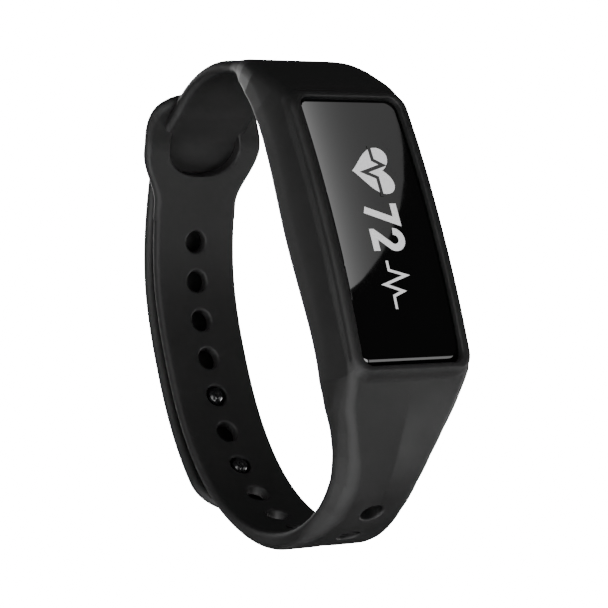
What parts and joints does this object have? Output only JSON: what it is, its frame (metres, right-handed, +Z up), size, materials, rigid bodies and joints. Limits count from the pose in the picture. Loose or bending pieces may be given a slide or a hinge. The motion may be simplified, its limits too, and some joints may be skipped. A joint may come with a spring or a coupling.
{
  "type": "fitness tracker band",
  "caption": "Wrist-worn activity tracker: silicone band closed by pegs and a keeper ring, holding a slim sealed pod with a long curved display window.",
  "frame": {"origin": "middle of the wrist opening, half-way across the band", "axes": "+Y along the forearm through the wrist opening; +Z up; the band leans back 25 degrees about Y, so that the display's normal is 25 degrees above +X"},
  "size_m": [0.0661, 0.0216, 0.0723],
  "materials": {
    "band_silicone": "matt black silicone",
    "peg_metal": "dark polished peg",
    "case_plastic": "fine matt moulded",
    "seal_rubber": "smooth",
    "screw_steel": "plated",
    "lens_gloss": "polished, black behind the window",
    "adhesive": "tape",
    "clear_film": "clear film",
    "panel_glass": "dark glass",
    "foam": "closed-cell foam",
    "flex_film": "amber polyimide",
    "board_laminate": "green solder mask",
    "chip_resin": "moulded resin",
    "can_metal": "nickel plated",
    "ceramic": "ceramic",
    "pouch_foil": "laminated foil",
    "contact_gold": "gold plated",
    "coil_copper": "enamelled copper",
    "weight_metal": "sintered tungsten alloy",
    "window_clear": "tinted clear",
    "led_resin": "clear resin over green dies"
  },
  "bodies": {
    "band": {"silicone_band": "band_silicone"},
    "pod": {"pod_case": "case_plastic", "back_cover": "case_plastic", "cover_seal": "seal_rubber", "cover_screws": "screw_steel", "cover_lens": "lens_gloss", "lens_gasket": "adhesive", "touch_film": "clear_film", "display_panel": "panel_glass", "panel_foam": "foam", "display_flex": "flex_film", "main_board": "board_laminate", "processor": "chip_resin", "memory_chip": "chip_resin", "motion_sensor": "chip_resin", "crystal": "can_metal", "chip_antenna": "ceramic", "power_chip": "chip_resin", "battery_pouch": "pouch_foil", "battery_tape": "adhesive", "protection_board": "board_laminate", "battery_tabs": "contact_gold", "motor_base": "can_metal", "motor_case": "can_metal", "motor_shaft": "screw_steel", "motor_coils": "coil_copper", "sensor_window": "window_clear", "sensor_board": "board_laminate", "pulse_lights": "led_resin", "light_sensor": "panel_glass", "light_barrier": "seal_rubber", "sensor_flex": "flex_film", "charge_pads": "contact_gold", "charge_pins": "contact_gold"},
    "tail": {"strap_tail": "band_silicone", "peg_clasp": "peg_metal"},
    "motor_weight": {"motor_weight": "weight_metal"}
  },
  "joints": [
    {"name": "pod_release", "type": "slide", "parent": "band", "child": "pod", "axis": [-0.9063, 0, -0.4226], "range_m": [0, 0.018]},
    {"name": "tail_peel", "type": "hinge", "parent": "band", "child": "tail", "pos_m": [-0.02738, 0, -0.00309], "axis": [0, 1, 0], "range_deg": [0, 40]},
    {"name": "motor_spin", "type": "hinge", "parent": "pod", "child": "motor_weight", "pos_m": [0.01739, 0, 0.02422], "axis": [0.9063, 0, 0.4226], "continuous": true}
  ]
}
